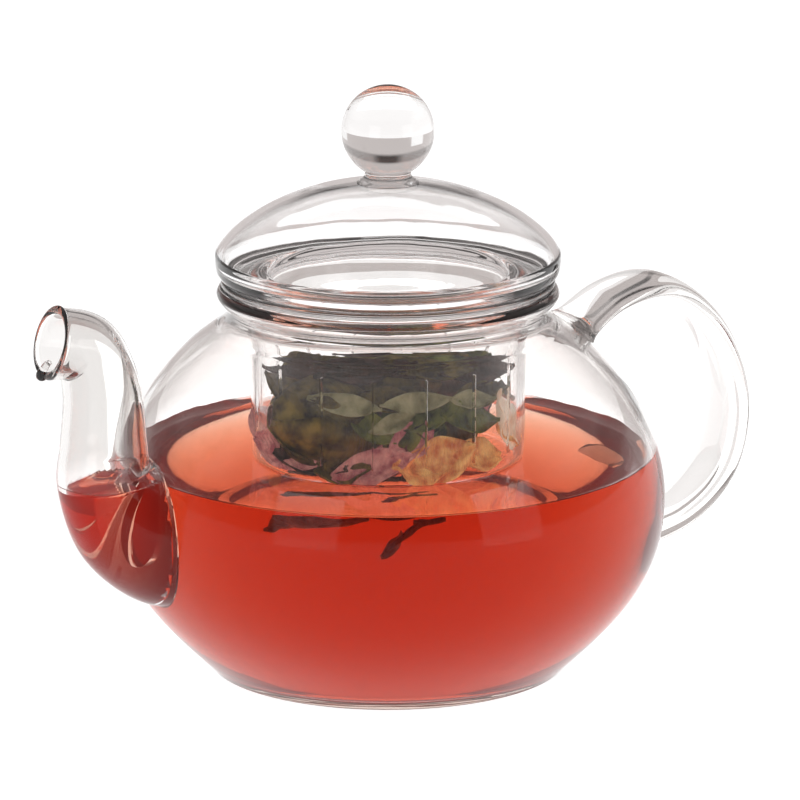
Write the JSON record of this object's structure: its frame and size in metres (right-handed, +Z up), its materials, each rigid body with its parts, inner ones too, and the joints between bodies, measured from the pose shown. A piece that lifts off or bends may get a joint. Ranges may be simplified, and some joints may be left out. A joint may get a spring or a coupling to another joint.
{
  "type": "glass teapot",
  "caption": "Round blown-glass teapot with curved side spout, flat looped handle, lift-out glass infuser cup and domed glass lid with a ball knob.",
  "frame": {"origin": "centre of the pot's flat base, on the surface that it stands on", "axes": "+Z up along the pot's axis, -X towards the spout, +X towards the handle"},
  "size_m": [0.1787, 0.1254, 0.1329],
  "materials": {
    "pot_glass": "clear fire-polished",
    "bar_glass": "clear fire-polished, solid bar",
    "infuser_glass": "clear fire-polished",
    "lid_glass": "clear fire-polished",
    "knob_glass": "clear polished, solid ball"
  },
  "bodies": {
    "pot": {"pot_bowl": "pot_glass", "mouth_rim": "pot_glass", "spout": "pot_glass", "spout_lip": "pot_glass", "handle": "bar_glass", "handle_upper_weld": "bar_glass", "handle_lower_weld": "bar_glass"},
    "infuser": {"infuser_cup": "infuser_glass", "infuser_collar": "infuser_glass"},
    "lid": {"lid_dome": "lid_glass", "lid_skirt": "lid_glass", "knob_stem": "knob_glass", "knob_ball": "knob_glass"}
  },
  "joints": [
    {"name": "infuser_lift", "type": "slide", "parent": "pot", "child": "infuser", "axis": [0, 0, 1], "range_m": [0, 0.1]},
    {"name": "lid_lift", "type": "slide", "parent": "infuser", "child": "lid", "axis": [0, 0, 1], "range_m": [0, 0.06]}
  ]
}
